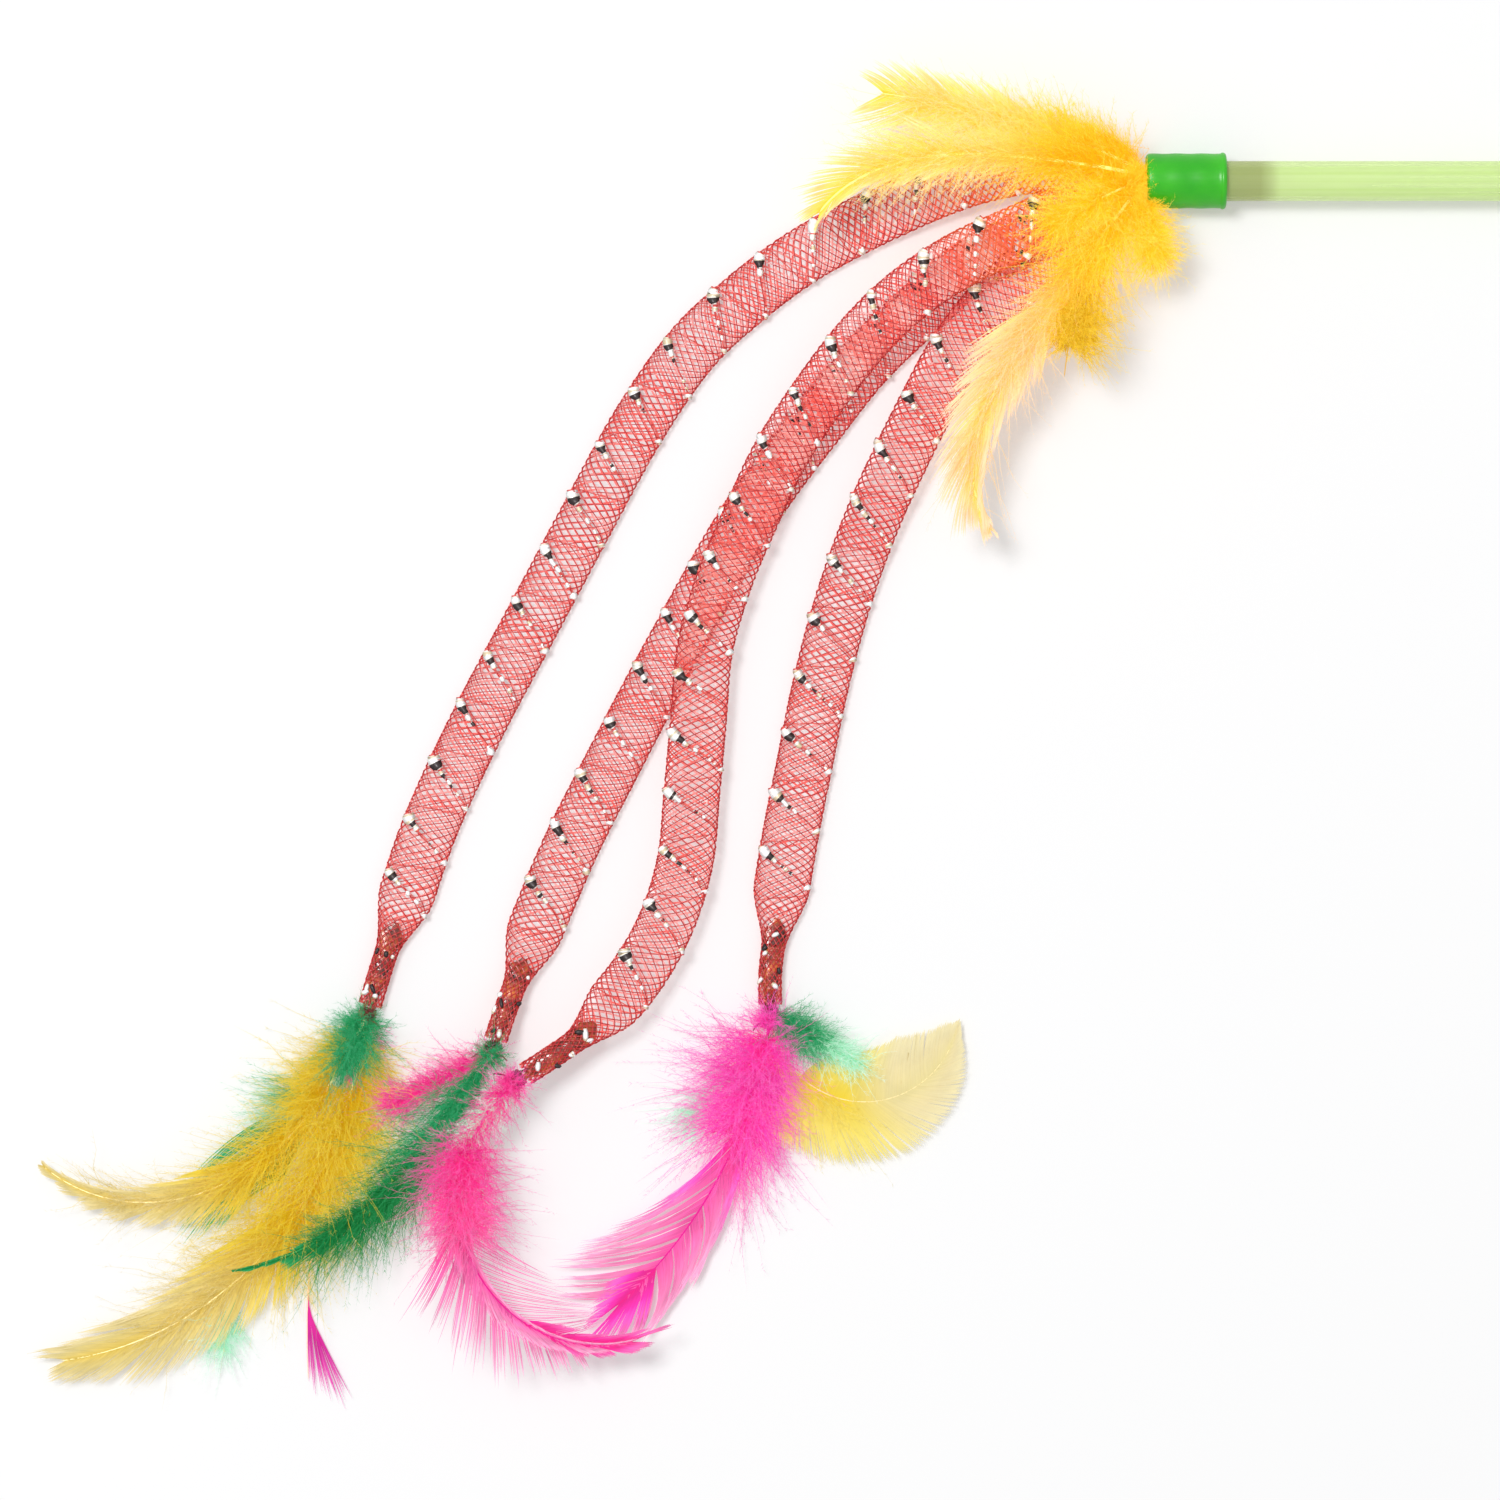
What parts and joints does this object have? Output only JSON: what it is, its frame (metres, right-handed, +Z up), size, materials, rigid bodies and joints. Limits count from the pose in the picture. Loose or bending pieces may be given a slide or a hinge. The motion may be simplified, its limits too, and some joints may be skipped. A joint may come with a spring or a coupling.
{
  "type": "cat teaser wand",
  "caption": "Thin hollow rod with a soft cap at each end; flat net streamers leave the front cap's mouth through a feather ruff and end in tied feather tassels.",
  "frame": {"origin": "middle of the handle cap on the rod's axis", "axes": "+X along the rod, out of the handle end; the streamers point towards -X; +Z up, away from the surface that the wand lies on"},
  "size_m": [0.4754, 0.196, 0.0117],
  "materials": {
    "rod_plastic": "clear glossy lime-green tube",
    "cap_vinyl": "smooth semi-gloss soft vinyl",
    "glue": "clear brown set glue",
    "net_red": "shiny nylon net",
    "foil_silver": "bright foil strip",
    "knot_thread": "thread set in glossy glue",
    "feather_yellow": "dyed feather",
    "feather_pink": "dyed feather",
    "feather_green": "dyed feather"
  },
  "bodies": {
    "wand": {"rod": "rod_plastic", "front_cap": "cap_vinyl", "handle_cap": "cap_vinyl", "glue_plug": "glue", "mesh_root_1": "net_red", "mesh_root_2": "net_red", "mesh_root_3": "net_red", "mesh_root_4": "net_red", "ruff_feather_1": "feather_yellow", "ruff_feather_2": "feather_yellow", "ruff_feather_3": "feather_yellow", "ruff_feather_4": "feather_yellow", "ruff_feather_5": "feather_yellow", "ruff_feather_6": "feather_yellow", "ruff_feather_7": "feather_yellow"},
    "streamer_1": {"mesh_tube_1": "net_red"},
    "streamer_2": {"mesh_tube_2": "net_red"},
    "streamer_3": {"mesh_tube_3": "net_red"},
    "streamer_4": {"mesh_tube_4": "net_red"},
    "tassel_1": {"tie_1": "knot_thread", "tassel_1_yellow_long": "feather_yellow", "tassel_1_yellow_slim": "feather_yellow", "tassel_1_green": "feather_green", "tassel_1_pink": "feather_pink"},
    "tassel_2": {"tie_2": "knot_thread", "tassel_2_pink": "feather_pink", "tassel_2_mint": "feather_green"},
    "tassel_3": {"tie_3": "knot_thread", "tassel_3_green": "feather_green", "tassel_3_pink": "feather_pink"},
    "tassel_4": {"tie_4": "knot_thread", "tassel_4_pink": "feather_pink", "tassel_4_green": "feather_green", "tassel_4_mint": "feather_green", "tassel_4_yellow": "feather_yellow"}
  },
  "joints": [
    {"name": "streamer_1_swing", "type": "hinge", "parent": "wand", "child": "streamer_1", "pos_m": [-0.304, 0.0011, 0], "axis": [0, 0, 1], "range_deg": [-25, 4]},
    {"name": "streamer_2_swing", "type": "hinge", "parent": "wand", "child": "streamer_2", "pos_m": [-0.304, 0, 0], "axis": [0, 0, 1], "range_deg": [-4, 4]},
    {"name": "streamer_3_swing", "type": "hinge", "parent": "wand", "child": "streamer_3", "pos_m": [-0.304, 0, 0], "axis": [0, 0, 1], "range_deg": [-4, 4]},
    {"name": "streamer_4_swing", "type": "hinge", "parent": "wand", "child": "streamer_4", "pos_m": [-0.304, -0.0011, 0], "axis": [0, 0, 1], "range_deg": [-4, 25]},
    {"name": "tassel_1_swing", "type": "hinge", "parent": "streamer_1", "child": "tassel_1", "pos_m": [-0.42086, -0.12532, 0], "axis": [0, 0, 1], "range_deg": [-12, 12]},
    {"name": "tassel_2_swing", "type": "hinge", "parent": "streamer_2", "child": "tassel_2", "pos_m": [-0.3984, -0.13462, 0], "axis": [0, 0, 1], "range_deg": [-10, 10]},
    {"name": "tassel_3_swing", "type": "hinge", "parent": "streamer_3", "child": "tassel_3", "pos_m": [-0.40189, -0.13031, 0], "axis": [0, 0, 1], "range_deg": [-10, 10]},
    {"name": "tassel_4_swing", "type": "hinge", "parent": "streamer_4", "child": "tassel_4", "pos_m": [-0.3602, -0.1253, 0], "axis": [0, 0, 1], "range_deg": [-12, 12]}
  ]
}
